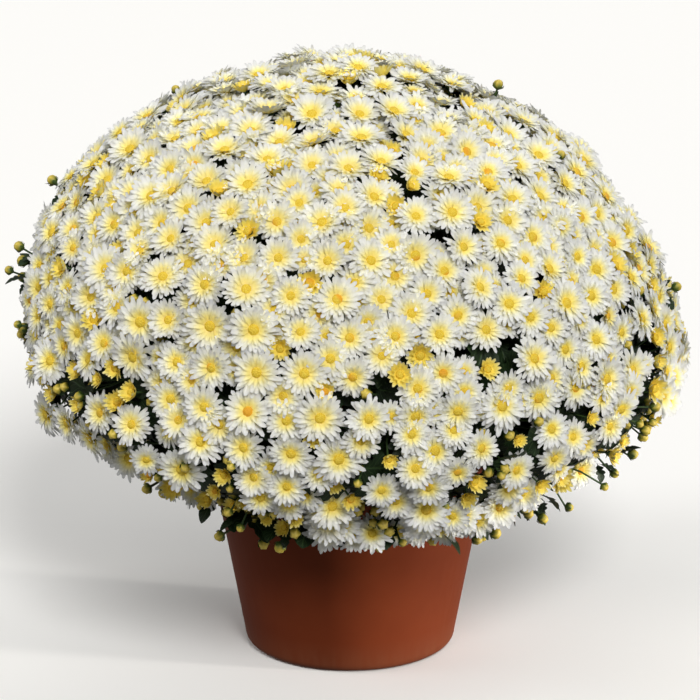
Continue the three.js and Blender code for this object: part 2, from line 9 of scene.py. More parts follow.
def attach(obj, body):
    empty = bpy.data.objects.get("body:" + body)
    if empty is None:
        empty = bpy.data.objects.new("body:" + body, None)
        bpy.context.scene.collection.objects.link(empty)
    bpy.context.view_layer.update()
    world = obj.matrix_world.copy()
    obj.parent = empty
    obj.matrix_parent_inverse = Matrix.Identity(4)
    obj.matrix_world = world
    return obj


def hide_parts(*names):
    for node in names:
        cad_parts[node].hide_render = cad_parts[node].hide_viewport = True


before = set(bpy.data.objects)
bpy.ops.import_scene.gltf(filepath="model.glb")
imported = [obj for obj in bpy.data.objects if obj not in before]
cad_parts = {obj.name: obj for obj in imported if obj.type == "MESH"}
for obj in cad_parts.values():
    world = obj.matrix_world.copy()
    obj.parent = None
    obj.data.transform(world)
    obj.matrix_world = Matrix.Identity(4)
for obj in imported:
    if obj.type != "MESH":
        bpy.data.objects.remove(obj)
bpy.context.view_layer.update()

# The view, the light and the floor.
# A long lens looks a little down from three and a half metres. The light comes from the front and
# above, and a lamp at the right picks out the pot's side. The floor is plain and almost white.
PHOTO_SIDE = 700
CAMERA_RISE = math.radians(17)
CAMERA_AWAY = 3.5
CAMERA_AIM = Vector((0, 0, 0.271))
LENS = 202.5
SENSOR = 36
camera_back = Vector((0, -math.cos(CAMERA_RISE), math.sin(CAMERA_RISE)))
camera_place = CAMERA_AIM + camera_back * CAMERA_AWAY
bpy.ops.object.camera_add(location=camera_place, rotation=(math.pi / 2 - CAMERA_RISE, 0, 0))
camera = bpy.context.object
camera.data.lens = LENS
camera.data.sensor_width = SENSOR
camera.data.clip_end = 60
bpy.context.scene.camera = camera
bpy.context.scene.view_settings.view_transform = "Standard"


def photo_pixel(place):
    """Where a place shows in the photograph, in pixels from its top left corner."""
    away = place - camera_place
    up = Vector((0, math.sin(CAMERA_RISE), math.cos(CAMERA_RISE)))
    pixels = PHOTO_SIDE * LENS / SENSOR / -away.dot(camera_back)
    return PHOTO_SIDE / 2 + away.x * pixels, PHOTO_SIDE / 2 - away.dot(up) * pixels


def soft_sun(name, aside, rise, strength, softness, colour):
    """A broad, even light from a turn to the right of the camera and a height above the floor."""
    bpy.ops.object.light_add(type="SUN", location=(aside / 90, -2, 3))
    lamp = bpy.context.object
    lamp.name = name
    lamp.data.energy = strength
    lamp.data.angle = math.radians(softness)
    lamp.data.color = colour
    lamp.rotation_euler = (math.radians(90 - rise), 0, math.radians(aside))


soft_sun("key_light", 14, 37, 2.0, 18, (1, 0.985, 0.95))
soft_sun("right_rim_light", 128, 45, 0.35, 20, (1, 0.99, 0.97))
soft_sun("left_rim_light", -78, 36, 0.6, 20, (1, 0.99, 0.97))

POT_LIGHT_PLACE = Vector((1.85, -0.42, 0.2))
POT_LIGHT_AIM = Vector((0.05, -0.05, 0.055))
bpy.ops.object.light_add(type="SPOT", location=POT_LIGHT_PLACE)
pot_light = bpy.context.object
pot_light.name = "pot_light"
pot_light.data.energy = 720
pot_light.data.spot_size = math.radians(8)
pot_light.data.spot_blend = 1
pot_light.data.shadow_soft_size = 0.18
pot_light.data.color = (1, 0.95, 0.88)
pot_light.rotation_euler = (POT_LIGHT_AIM - POT_LIGHT_PLACE).to_track_quat("-Z", "Y").to_euler()

sky = bpy.data.worlds.new("studio")
sky.use_nodes = True
sky_nodes = sky.node_tree.nodes
sky_links = sky.node_tree.links
sky_nodes["Background"].inputs["Color"].default_value = (1, 0.99, 0.96, 1)
sky_way = sky_nodes.new("ShaderNodeTexCoord")
sky_height = sky_nodes.new("ShaderNodeVectorMath")
sky_height.operation = "DOT_PRODUCT"
sky_height.inputs[1].default_value = (0.25, 0, 0.95)
sky_fade = sky_nodes.new("ShaderNodeMapRange")
sky_fade.inputs["To Min"].default_value = 0.22
sky_fade.inputs["To Max"].default_value = 0.58
sky_links.new(sky_way.outputs["Generated"], sky_height.inputs[0])
sky_links.new(sky_height.outputs["Value"], sky_fade.inputs["Value"])
sky_links.new(sky_fade.outputs[0], sky_nodes["Background"].inputs["Strength"])
bpy.context.scene.world = sky


class Paint:
    """A material while its nodes are put together, with short ways to add the ones it needs."""

    def __init__(self, name, roughness):
        self.material = bpy.data.materials.new(name)
        self.material.use_nodes = True
        self.tree = self.material.node_tree
        self.shader = self.tree.nodes["Principled BSDF"]
        self.set("Roughness", roughness)

    def feed(self, socket, value):
        """Gives a socket another node's output, a number or a colour."""
        if isinstance(value, bpy.types.NodeSocket):
            self.tree.links.new(value, socket)
        else:
            socket.default_value = (*value, 1) if socket.type == "RGBA" else value

    def set(self, socket, value):
        self.feed(self.shader.inputs[socket], value)

    def add(self, kind, inputs=(), **settings):
        node = self.tree.nodes.new("ShaderNode" + kind)
        for setting, value in settings.items():
            setattr(node, setting, value)
        for socket, value in dict(inputs).items():
            self.feed(node.inputs[socket], value)
        return node

    def spot(self):
        return self.add("TexCoord").outputs["Object"]

    def sheet(self):
        """The place on a strap's flat grid."""
        return self.add("UVMap", uv_map="UVMap").outputs[0]

    def written(self, name):
        """The number that each point of the mesh has under a name."""
        return self.add("Attribute", attribute_name=name).outputs["Fac"]

    def stretched(self, places, scale):
        return self.add("Mapping", {"Vector": places, "Scale": scale}).outputs[0]

    def noise(self, scale, detail, places=None):
        inputs = {"Vector": places or self.spot(), "Scale": scale, "Detail": detail}
        return self.add("TexNoise", inputs).outputs["Fac"]

    def cells(self, scale):
        return self.add("TexVoronoi", {"Vector": self.spot(), "Scale": scale}).outputs["Distance"]

    def maths(self, operation, *values, clamp=False):
        return self.add("Math", enumerate(values), operation=operation, use_clamp=clamp).outputs[0]

    def span(self, source, start, end, first=0, last=1):
        """A source's way from start to end as a way from first to last."""
        ends = {"From Min": start, "From Max": end, "To Min": first, "To Max": last}
        return self.add("MapRange", {"Value": source, **ends}).outputs[0]

    def mix(self, share, first, second):
        inputs = {"Factor": share, "A": first, "B": second}
        return self.add("Mix", inputs, data_type="RGBA").outputs["Result"]

    def ramp(self, source, *stops):
        """Colours along a source. The stops are (place, colour) pairs."""
        ramp = self.add("ValToRGB", {0: source})
        elements = ramp.color_ramp.elements
        while len(elements) < len(stops):
            elements.new(0.5)
        for element, (place, colour) in zip(elements, stops):
            element.position = place
            element.color = (*colour, 1)
        return ramp.outputs["Color"]

    def relief(self, height, strength, distance, **settings):
        inputs = {"Height": height, "Strength": strength, "Distance": distance}
        self.set("Normal", self.add("Bump", inputs, **settings).outputs[0])

    def cover(self, *pieces):
        for piece in pieces:
            piece.data.materials.append(self.material)


FLOOR_SIDE = 40
bpy.ops.mesh.primitive_plane_add(size=FLOOR_SIDE, location=(0, 0, -0.0005))
floor = bpy.context.object
floor.name = "floor"
floor_paint = Paint("floor_paint", 0.9)
floor_paint.set("Base Color", (0.98, 0.98, 0.98))
floor_paint.cover(floor)
# The floor throws no light up, because the photograph's pot is dark under its flowers.
floor.visible_diffuse = False
floor.visible_glossy = False

# The pot.
# One moulded piece of terracotta-coloured plastic: a tapering wall on a rounded foot, a rolled
# lip under the flowers, a floor that stands a little clear of the ground, and four drain holes.
POT_TALL = 0.183
POT_FOOT_RADIUS = 0.093
POT_FLARE = 0.034
POT_WALL = 0.0026
POT_FLOOR = 0.0032
FOOT_ROUNDING = 0.009
FOOT_STEPS = 6
LIP_OUT = 0.004
LIP_TALL = 0.012
POT_SIDES = 120
STAND_CLEAR = 0.0012
STAND_RADIUS = 0.078
HOLE_RADIUS = 0.006
HOLE_CIRCLE = 0.064
HOLES = 4


def pot_radius(height):
    return POT_FOOT_RADIUS + POT_FLARE * height / POT_TALL


def begin_shape():
    """Leaves nothing selected, so that the next operator acts on the new shape alone."""
    bpy.ops.object.select_all(action="DESELECT")


def take(piece):
    """Leaves one piece selected and active, so that the next operator acts on it alone."""
    begin_shape()
    piece.select_set(True)
    bpy.context.view_layer.objects.active = piece


def turned(outline, sides):
    """A closed shape of round rings, each a (radius, height), extruded from a first face."""
    begin_shape()
    bpy.ops.mesh.primitive_circle_add(
        vertices=sides, radius=outline[0][0], fill_type="NGON", location=(0, 0, outline[0][1])
    )
    shape = bpy.context.object
    bpy.ops.object.transform_apply()
    bpy.ops.object.mode_set(mode="EDIT")
    for (wide, low), (next_wide, high) in zip(outline, outline[1:]):
        move = {"value": (0, 0, high - low)}
        bpy.ops.mesh.extrude_region_move(TRANSFORM_OT_translate=move)
        share = next_wide / wide
        bpy.ops.transform.resize(value=(share, share, 1), center_override=(0, 0, high))
    bpy.ops.mesh.select_all(action="SELECT")
    bpy.ops.mesh.normals_make_consistent(inside=False)
    bpy.ops.object.mode_set(mode="OBJECT")
    return shape


def finish_piece(piece, name, slot, *nodes):
    piece.name = name
    piece.data.name = name
    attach(piece, "root")
    if nodes:
        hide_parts(*nodes)


def smooth_faces(piece, degrees):
    """Smooths the shading where two faces meet at less than an angle."""
    take(piece)
    bpy.ops.object.shade_smooth_by_angle(angle=math.radians(degrees))


pot_outline = [(STAND_RADIUS - 0.004, STAND_CLEAR), (STAND_RADIUS, 0)]
for k in range(FOOT_STEPS + 1):
    turn = k / FOOT_STEPS * math.radians(80)
    wide = pot_radius(FOOT_ROUNDING) - FOOT_ROUNDING * (1 - math.sin(turn))
    pot_outline.append((wide, FOOT_ROUNDING * (1 - math.cos(turn))))
lip_foot = POT_TALL - LIP_TALL
for height in (0.012, 0.03, 0.06, 0.09, 0.12, 0.15):
    pot_outline.append((pot_radius(height), height))
pot_outline += [
    (pot_radius(lip_foot), lip_foot - 0.001),
    (pot_radius(lip_foot) + 0.6 * LIP_OUT, lip_foot + 0.0006),
    (pot_radius(lip_foot) + LIP_OUT, lip_foot + 0.0024),
    (pot_radius(POT_TALL) + LIP_OUT - 0.0002, POT_TALL - 0.0014),
    (pot_radius(POT_TALL) + LIP_OUT - 0.0014, POT_TALL),
    (pot_radius(POT_TALL) - POT_WALL + 0.001, POT_TALL),
    (pot_radius(POT_TALL) - POT_WALL, POT_TALL - 0.0012),
    (pot_radius(0.09) - POT_WALL, 0.09),
    (pot_radius(FOOT_ROUNDING) - POT_WALL, FOOT_ROUNDING + 0.001),
    (pot_radius(0) - FOOT_ROUNDING, POT_FLOOR),
]
pot = turned(pot_outline, POT_SIDES)
for k in range(HOLES):
    turn = (k + 0.5) / HOLES * math.tau
    place = (HOLE_CIRCLE * math.cos(turn), HOLE_CIRCLE * math.sin(turn), 0)
    bpy.ops.mesh.primitive_cylinder_add(vertices=20, radius=HOLE_RADIUS, depth=0.02, location=place)
    punch = bpy.context.object
    cut = pot.modifiers.new("drain_hole", "BOOLEAN")
    cut.operation = "DIFFERENCE"
    cut.object = punch
    take(pot)
    bpy.ops.object.modifier_apply(modifier=cut.name)
    bpy.data.objects.remove(punch)
smooth_faces(pot, 32)

plastic = Paint("terracotta_plastic", 0.5)
plastic.set("Specular IOR Level", 0.1)
tint = plastic.ramp(
    plastic.noise(14, 3), (0.3, (0.128, 0.023, 0.0066)), (0.7, (0.156, 0.03, 0.0088))
)
# The wall is rubbed in upright streaks, and near the ground dust clings to it.
rubs = plastic.noise(3, 4, plastic.stretched(plastic.spot(), (60, 60, 5)))
height = plastic.add("SeparateXYZ", {0: plastic.spot()}).outputs["Z"]
dust = plastic.maths("MULTIPLY", plastic.span(height, 0.03, 0), rubs)
plastic.set("Base Color", plastic.mix(dust, tint, (0.17, 0.055, 0.026)))
plastic.set("Roughness", plastic.span(rubs, 0, 1, 0.45, 0.62))
plastic.relief(plastic.noise(900, 2), 0.12, 0.0003)
plastic.cover(pot)
finish_piece(pot, "moulded_pot", "pot", "pot")

# The potting mix.
# Damp peat with bark crumbs, poured round the stems and heaped a little in the middle. It takes
# the pot's inner form. Its top is uneven and hidden by the leaves.
FIT = 0.0004
SOIL_EDGE = POT_TALL - 0.024
SOIL_HEAP = 0.007
SOIL_SIDES = 64
HEAP_STEPS = 15
CRUMB_SIZE = 0.008
CRUMB_HEIGHT = 0.007


def soil_radius(height):
    return pot_radius(height) - POT_WALL - 2 * FIT


soil_outline = [
    (soil_radius(0) - FOOT_ROUNDING - 0.002, POT_FLOOR + FIT),
    (soil_radius(FOOT_ROUNDING), FOOT_ROUNDING + 0.001),
    (soil_radius(0.08), 0.08),
    (soil_radius(SOIL_EDGE), SOIL_EDGE - 0.001),
]
for k in range(1, HEAP_STEPS):
    share = k / HEAP_STEPS
    height = SOIL_EDGE + SOIL_HEAP * math.sin(share * math.pi / 2)
    soil_outline.append((soil_radius(SOIL_EDGE) * (1 - share), height))
soil = turned(soil_outline, SOIL_SIDES)
top_group = soil.vertex_groups.new(name="top")
upper = [v.index for v in soil.data.vertices if v.co.z > SOIL_EDGE]
top_group.add(upper, 1, "REPLACE")
crumbs = bpy.data.textures.new("crumbs", "CLOUDS")
crumbs.noise_scale = CRUMB_SIZE
heave = soil.modifiers.new("heave", "DISPLACE")
heave.texture = crumbs
heave.texture_coords = "GLOBAL"
heave.direction = "Z"
heave.strength = CRUMB_HEIGHT
heave.mid_level = 0.6
heave.vertex_group = "top"
take(soil)
bpy.ops.object.modifier_apply(modifier="heave")
soil.vertex_groups.clear()
smooth_faces(soil, 60)

peat = Paint("potting_mix", 0.95)
lumps = peat.noise(240, 5)
brown = peat.ramp(lumps, (0.35, (0.012, 0.008, 0.005)), (0.7, (0.06, 0.036, 0.022)))
peat.set("Base Color", brown)
peat.relief(peat.maths("ADD", lumps, peat.cells(260)), 0.9, 0.002)
peat.cover(soil)
finish_piece(soil, "potting_mix", "soil", "soil")

# The dome that the flowers make.
# Each flower stands on a face of the solids' dome, so the same rings, draws and faces are worked
# out here, in millimetres, by the same formulas. Lengths become metres where a shape is placed.
DOME_RADIUS = 286
DOME_RISE = 258
DOME_DROP = 138
WIDEST_HEIGHT = 270
HEM_RADIUS = 190
PROFILE_STEPS = 600
SWAY = 12
SWAY_MIDDLE = 300
SWAY_HEIGHT = 320
SIDE_LIFT = 0.14
ROWS = 17
POLE_SHARE = 0.56
POLE_POINTS = 5
BLOOM_SPACING = 38.4
CORE_JITTER = 6
BLOOM_RADIUS_SMALL = 18.5
BLOOM_RADIUS_LARGE = 23
BLOOM_LIFT = 3
BLOOM_TILT = 0.2
BLOOM_LOOKS_UP = 0.3
SIDEWAYS = 0.4
CORE_DEPTH = 25
WORD = 0xFFFFFFFF
MM = 0.001


def draw(a, b, c):
    """A repeatable draw from 0 to 1 for three whole numbers, the same as the solids use."""
    h = ((a + 11) * 0x9E3779B1 & WORD) ^ ((b + 101) * 0x85EBCA6B & WORD)
    h = (h ^ ((c + 7) * 0xC2B2AE35 & WORD)) * 0x27D4EB2F & WORD
    h = (h ^ (h >> 15)) * 0x165667B1 & WORD
    h = (h ^ (h >> 13)) * 0x2C1B3C6D & WORD
    return (h ^ (h >> 16)) / 4294967296


def spread(a, b, c):
    return 2 * draw(a, b, c) - 1


def polar(radius, turns, height):
    return Vector((radius * math.cos(turns * math.tau), radius * math.sin(turns * math.tau), height))


drop_at_hem = math.pi - math.asin(HEM_RADIUS / DOME_RADIUS)


def profile_at(angle):
    rise = DOME_RISE if angle < math.pi / 2 else DOME_DROP
    normal = Vector((math.sin(angle) / DOME_RADIUS, math.cos(angle) / rise)).normalized()
    return DOME_RADIUS * math.sin(angle), WIDEST_HEIGHT + rise * math.cos(angle), normal


arcs = [0]
for k in range(1, PROFILE_STEPS + 1):
    before = profile_at(drop_at_hem * (k - 1) / PROFILE_STEPS)
    after = profile_at(drop_at_hem * k / PROFILE_STEPS)
    arcs.append(arcs[-1] + math.hypot(after[0] - before[0], after[1] - before[1]))
HEM_ARC = arcs[-1]
ROW_ARC = HEM_ARC / (ROWS + POLE_SHARE)


def profile_at_arc(arc):
    k = 1
    while k < PROFILE_STEPS and arcs[k] < arc:
        k += 1
    share = (arc - arcs[k - 1]) / (arcs[k] - arcs[k - 1])
    return profile_at(drop_at_hem * (k - 1 + share) / PROFILE_STEPS)


def grown_place(place, turns):
    """Moves a point of the even dome to where the uneven plant has it."""
    if place.z < WIDEST_HEIGHT:
        place.z += SIDE_LIFT * math.cos(turns * math.tau) ** 2 * (WIDEST_HEIGHT - place.z)
    place.x -= SWAY * math.sin(math.pi * (place.z - SWAY_MIDDLE) / SWAY_HEIGHT)
    return place


def dome_point(arc, turns, depth):
    """A place on the dome, sunk by a depth, with its outward normal and two tangents."""
    radius, height, slope = profile_at_arc(arc)
    out = polar(1, turns, 0)
    normal = Vector((out.x * slope.x, out.y * slope.x, slope.y))
    along = polar(1, turns + 0.25, 0)
    place = Vector((out.x * radius, out.y * radius, height)) - normal * depth
    return grown_place(place, turns), normal, along, along.cross(normal)


core = []
rings = []
for r in range(ROWS + 1):
    arc = (r + POLE_SHARE) * ROW_ARC
    around = math.tau * profile_at_arc(arc)[0]
    count = max(POLE_POINTS, round(around / BLOOM_SPACING))
    ring = []
    for i in range(count):
        turn = (i + draw(r, 0, 1)) / count
        aside = CORE_JITTER * spread(r, i, 2) / around
        sunk = CORE_JITTER * spread(r, i, 3)
        ring.append((len(core), turn))
        core.append((min(arc + sunk, HEM_ARC), turn + aside, r))
    rings.append(ring)


def row_faces(upper, lower):
    """The faces between two rings, each as the numbers of its core points."""
    fuller, other = (lower, upper) if len(lower) >= len(upper) else (upper, lower)

    def away(a, b):
        return abs(a[1] - b[1] - math.floor(a[1] - b[1] + 0.5))

    nearest = [min(range(len(other)), key=lambda k: away(p, other[k])) for p in fuller]
    faces = []
    for j, p in enumerate(fuller):
        n = (j + 1) % len(fuller)
        steps = (nearest[n] - nearest[j]) % len(other)
        run = [other[(nearest[j] + k) % len(other)][0] for k in range(steps + 1)]
        if fuller is lower:
            faces.append([p[0], fuller[n][0], *reversed(run)])
        else:
            faces.append([*run, fuller[n][0], p[0]])
    return faces


def flower_axis(frame_at, tilt, lean):
    """The way a flower faces: outwards, a little aside, and upwards where the dome is steep."""
    _, normal, along, down = frame_at
    axis = normal + along * tilt + down * lean
    axis.z += BLOOM_LOOKS_UP * max(0, SIDEWAYS - normal.z)
    return axis.normalized()


blooms = []
for row in range(ROWS + 1):
    faces = [[p[0] for p in rings[0]]] if row == 0 else row_faces(rings[row - 1], rings[row])
    for k, face in enumerate(faces):
        first = core[face[0]][1]
        turns = [core[i][1] - math.floor(core[i][1] - first + 0.5) for i in face]
        turn = 0 if row == 0 else sum(turns) / len(face)
        arc = 0 if row == 0 else sum(core[i][0] for i in face) / len(face)
        at = dome_point(arc, turn, -BLOOM_LIFT * spread(row, k, 4))
        axis = flower_axis(at, BLOOM_TILT * spread(row, k, 5), BLOOM_TILT * spread(row, k, 6))
        radius = BLOOM_RADIUS_SMALL + (BLOOM_RADIUS_LARGE - BLOOM_RADIUS_SMALL) * draw(row, k, 7)
        blooms.append((at[0] * MM, axis, radius * MM, draw(row, k, 8), row))

hub = Vector((0, 0, 290)) * MM
NECK_SHARE = 0.48
sprays = [("spray_crown", dome_point(0, 0, CORE_DEPTH)[0] * MM)]
for tier, share, offset in (("upper", 0.38, 0.5), ("lower", 0.78, 0)):
    for k in range(6):
        middle = dome_point(share * HEM_ARC, (k + offset) / 6, CORE_DEPTH)[0] * MM
        sprays.append((f"spray_{tier}_{k + 1}", middle))
necks = {name: middle.lerp(hub, NECK_SHARE) for name, middle in sprays}


def spray_of(place):
    return min(sprays, key=lambda s: (s[1] - place).length)[0]


# The petals.
# A flower has three rings of narrow white straps. Each strap is soft, a little hollowed along its
# middle, widest near its blunt tip, and cream where it meets the yellow eye.
def pick(mesh, wanted):
    """Selects the points of the mesh in edit mode that a test by place accepts."""
    shape = bmesh.from_edit_mesh(mesh)
    for point in shape.verts:
        point.select = wanted(point.co)
    shape.select_flush_mode()
    bmesh.update_edit_mesh(mesh)


def strap(rows):
    """A petal or leaf along +X from a grid.

    Each row is (reach, half width, height, edge lift, tip push).
    """
    begin_shape()
    bpy.ops.mesh.primitive_grid_add(
        x_subdivisions=len(rows) - 1, y_subdivisions=2, size=2, calc_uvs=True
    )
    petal = bpy.context.object
    bpy.ops.object.mode_set(mode="EDIT")
    for k in reversed(range(len(rows))):
        reach, half_width, height, edge_lift, tip_push = rows[k]
        at = -1 + 2 * k / (len(rows) - 1)
        pick(petal.data, lambda co: abs(co.x - at) < 0.01 and co.z == 0)
        bpy.ops.transform.resize(value=(1, half_width, 1), center_override=(at, 0, 0))
        bpy.ops.transform.translate(value=(reach - at + 10, 0, height + 1))
        pick(petal.data, lambda co: co.z > 0.5 and abs(co.x - reach - 10) < 0.001 < abs(co.y))
        bpy.ops.transform.translate(value=(0, 0, edge_lift))
        pick(petal.data, lambda co: co.z > 0.5 and max(abs(co.x - reach - 10), abs(co.y)) < 0.001)
        bpy.ops.transform.translate(value=(tip_push, 0, 0))
    bpy.ops.mesh.select_all(action="SELECT")
    bpy.ops.transform.translate(value=(-10, 0, -1))
    bpy.ops.object.mode_set(mode="OBJECT")
    bpy.ops.object.shade_smooth()
    return petal


def mark(mesh, **values):
    """Writes a number for each point of a mesh under a name that the materials read."""
    for name, value in values.items():
        layer = mesh.attributes.get(name) or mesh.attributes.new(name, "FLOAT", "POINT")
        layer.data.foreach_set("value", np.full(len(mesh.vertices), value, dtype=np.float32))


def join_up(parts):
    """Joins copies into one piece."""
    begin_shape()
    for part in parts:
        bpy.context.collection.objects.link(part)
        part.select_set(True)
    bpy.context.view_layer.objects.active = parts[0]
    if len(parts) > 1:
        bpy.ops.object.join()
    return parts[0]


def copy_of(pattern, place, points=None):
    """A copy with its own mesh, its points changed if new ones are given, set in its place."""
    mesh = pattern.data.copy()
    if points is not None:
        mesh.vertices.foreach_set("co", points.ravel())
    mesh.transform(place)
    return bpy.data.objects.new(pattern.name, mesh)


def points_of(mesh):
    points = np.empty(3 * len(mesh.vertices), dtype=np.float32)
    mesh.vertices.foreach_get("co", points)
    return points.reshape(-1, 3)


def flower_of(rings, eye):
    """Rings of (petal, count, turn) round an eye. Each point is told its petal and its way."""
    parts = []
    for petal, count, turn in rings:
        for k in range(count):
            at = (k + turn) / count
            parts.append(copy_of(petal, Matrix.Rotation(at * math.tau, 4, "Z")))
            mark(parts[-1].data, petal=len(parts) - 1, turn=at)
    mark(eye.data, petal=-1, turn=0)
    return join_up([*parts, copy_of(eye, Matrix.Identity(4))])


# A petal's rows, in shares of the flower's radius.
OUTER_ROWS = [
    (0.15, 0.034, 0, 0.008, 0),
    (0.6, 0.11, 0.1, 0.03, 0),
    (0.92, 0.072, 0.085, 0, 0.07),
]
MIDDLE_ROWS = [
    (0.14, 0.034, 0.05, 0.01, 0),
    (0.5, 0.105, 0.18, 0.03, 0),
    (0.78, 0.066, 0.235, 0.006, 0.065),
]
INNER_ROWS = [
    (0.12, 0.03, 0.09, 0.01, 0),
    (0.34, 0.08, 0.21, 0.026, 0),
    (0.54, 0.05, 0.3, 0.008, 0.05),
]
outer_petal = strap(OUTER_ROWS)
middle_petal = strap(MIDDLE_ROWS)
inner_petal = strap(INNER_ROWS)


def petal_paint(name, cream, *stops):
    """Petal skin with colours by the reach from the flower's middle, and finely lined."""
    skin = Paint(name, 0.55)
    reach = skin.written("reach")
    youth = skin.written("youth")
    # Young flowers are yellow a little further out, and every flower is blotched a little.
    ripe = skin.maths("MULTIPLY_ADD", youth, -0.15, reach)
    tone = skin.ramp(skin.maths("MULTIPLY_ADD", skin.noise(90, 2), 0.12, ripe), *stops)
    # They also have a cream cast that fades towards the tips.
    cast = skin.maths("MULTIPLY", skin.maths("SUBTRACT", 0.95, reach), youth, clamp=True)
    skin.set("Base Color", skin.mix(cast, tone, cream))
    skin.relief(skin.noise(2, 2, skin.stretched(skin.sheet(), (0.6, 9, 1))), 0.35, 0.0006)
    skin.shader.subsurface_method = "BURLEY"
    skin.set("Subsurface Weight", 0.5)
    skin.set("Subsurface Radius", (1, 0.95, 0.7))
    skin.set("Subsurface Scale", 0.007)
    return skin


white_petal = petal_paint(
    "white_petal",
    (0.84, 0.76, 0.42),
    (0.18, (0.87, 0.67, 0.06)),
    (0.3, (0.87, 0.74, 0.16)),
    (0.41, (0.86, 0.79, 0.4)),
    (0.53, (0.81, 0.81, 0.68)),
    (0.69, (0.79, 0.8, 0.79)),
)
white_petal.cover(outer_petal, middle_petal, inner_petal)

# The eye.
# A low dome in the middle of the flower, packed with tiny yellow tube florets. They are too small
# to model, so they are cells in the paint and in its relief. Ripe ones are orange.
eye = turned([(0.19, 0.03), (0.225, 0.12), (0.16, 0.19), (0.06, 0.215)], 9)
bpy.ops.object.shade_smooth()
yellow_eye = Paint("yellow_eye", 0.7)
florets = yellow_eye.cells(900)
# Each floret is yellow at its middle and darker, more orange towards its edge. That is partly the
# florets' own colour and partly painted shade in the sunken gaps between them.
floret_gold_and_gap_shade = yellow_eye.ramp(florets, (0.1, (0.9, 0.7, 0.08)), (0.75, (0.76, 0.5, 0.022)))
ripe = yellow_eye.span(yellow_eye.noise(55, 1), 0.6, 0.72)
yellow_eye.set("Base Color", yellow_eye.mix(ripe, floret_gold_and_gap_shade, (0.84, 0.4, 0.02)))
yellow_eye.relief(florets, 0.8, 0.0008, invert=True)
yellow_eye.cover(eye)

# The open flower, modelled once.
# Twenty-five outer straps, twenty in the middle and thirteen short ones stand round the eye.
flower = flower_of([(outer_petal, 25, 0), (middle_petal, 20, 0.3), (inner_petal, 13, 0.6)], eye)

# The half-open flower.
# A cup of fifteen short straps and ten shorter ones, still yellow, that lean together round a small
# raised eye. They open and turn white from the outside inwards.
CUP_ROWS = [
    (0.12, 0.08, 0, 0.02, 0),
    (0.55, 0.17, 0.24, 0.06, 0),
    (0.88, 0.08, 0.42, 0.03, 0.08),
]
CUP_INNER_ROWS = [
    (0.1, 0.06, 0.1, 0.02, 0),
    (0.36, 0.13, 0.4, 0.05, 0),
    (0.56, 0.06, 0.58, 0.02, 0.05),
]
cup_petal = strap(CUP_ROWS)
cup_inner_petal = strap(CUP_INNER_ROWS)
golden_petal = petal_paint(
    "golden_petal",
    (0.86, 0.74, 0.16),
    (0.1, (0.8, 0.56, 0.04)),
    (0.5, (0.87, 0.7, 0.1)),
    (0.75, (0.88, 0.77, 0.24)),
    (0.95, (0.86, 0.82, 0.52)),
)
golden_petal.cover(cup_petal, cup_inner_petal)
young_eye = turned([(0.18, 0.15), (0.3, 0.34), (0.22, 0.46), (0.08, 0.47)], 8)
bpy.ops.object.shade_smooth()
yellow_eye.cover(young_eye)
young_flower = flower_of([(cup_petal, 15, 0), (cup_inner_petal, 10, 0.4)], young_eye)


class FlowerShape:
    """An unchanged flower's points, with each point's petal, its way and its place along it."""

    def __init__(self, flower):
        mesh = flower.data
        self.flower = flower
        self.points = points_of(mesh)
        read = {}
        for name in ("petal", "turn"):
            read[name] = np.empty(len(mesh.vertices), dtype=np.float32)
            mesh.attributes[name].data.foreach_get("value", read[name])
            mesh.attributes.remove(mesh.attributes[name])
        self.petal = read["petal"].astype(int)
        self.way = read["turn"] * math.tau
        self.petals = self.petal.max() + 1
        x, y, z = self.points.T
        self.reach = x * np.cos(self.way) + y * np.sin(self.way)
        mark(mesh, reach=np.hypot(x, y))
        self.aside = y * np.cos(self.way) - x * np.sin(self.way)
        self.height = z

    def grown(self, rng, open_by):
        """Points with every petal of its own length, lift (in radians) and turn."""
        pivot = 0.15
        lift = open_by + 0.1 * rng.normal(size=self.petals)
        longer = 1 + 0.07 * rng.normal(size=self.petals)
        aside_turn = 0.05 * rng.normal(size=self.petals)
        roll = 0.25 * rng.normal(size=self.petals)
        on = self.petal >= 0
        p = np.where(on, self.petal, 0)
        out = (self.reach - pivot) * longer[p]
        turn_up = lift[p] * np.clip(out / 0.6, 0, 1.2)
        height = self.height + self.aside * roll[p]
        reach = pivot + out * np.cos(turn_up) - height * np.sin(turn_up) * 0.5
        height = height * np.cos(turn_up) + out * np.sin(turn_up)
        way = self.way + aside_turn[p]
        changed = np.stack([
            reach * np.cos(way) - self.aside * np.sin(way),
            reach * np.sin(way) + self.aside * np.cos(way),
            height,
        ], axis=1)
        return np.where(on[:, None], changed, self.points).astype(np.float32)


open_shape = FlowerShape(flower)
young_shape = FlowerShape(young_flower)

# The flowers, each in its place on the dome.
# Every face of the solids' dome has a flower and every corner of the faces a smaller one. Where the
# photograph's plant is thin or young, some are half open, in bud or missing, and leaves show.
THIN_PLACES = [
    # across, down and half sizes in pixels of the photograph, and how bare
    (85, 388, 54, 26, 1.5), (150, 405, 50, 16, 0.6), (150, 455, 36, 26, 1.15), (215, 460, 34, 16, 1.1),
    (200, 495, 40, 28, 1.45), (280, 472, 40, 14, 0.95), (265, 515, 30, 16, 1.1), (320, 437, 30, 12, 0.9),
    (325, 492, 30, 14, 0.85), (386, 470, 38, 18, 0.85), (385, 505, 32, 15, 1.15), (378, 402, 20, 12, 0.5),
    (496, 362, 32, 22, 1.2), (500, 430, 44, 18, 1), (560, 430, 40, 20, 0.9), (616, 450, 44, 22, 1.2),
    (560, 463, 40, 16, 0.8), (505, 492, 46, 22, 1.2), (560, 490, 30, 16, 1.1), (450, 500, 24, 16, 0.8),
    (655, 425, 26, 24, 1.5), (30, 340, 22, 20, 1), (35, 262, 22, 30, 0.7), (262, 262, 30, 14, 0.4),
    (652, 285, 20, 16, 0.6), (640, 345, 22, 20, 0.4), (430, 452, 26, 12, 0.8),
]
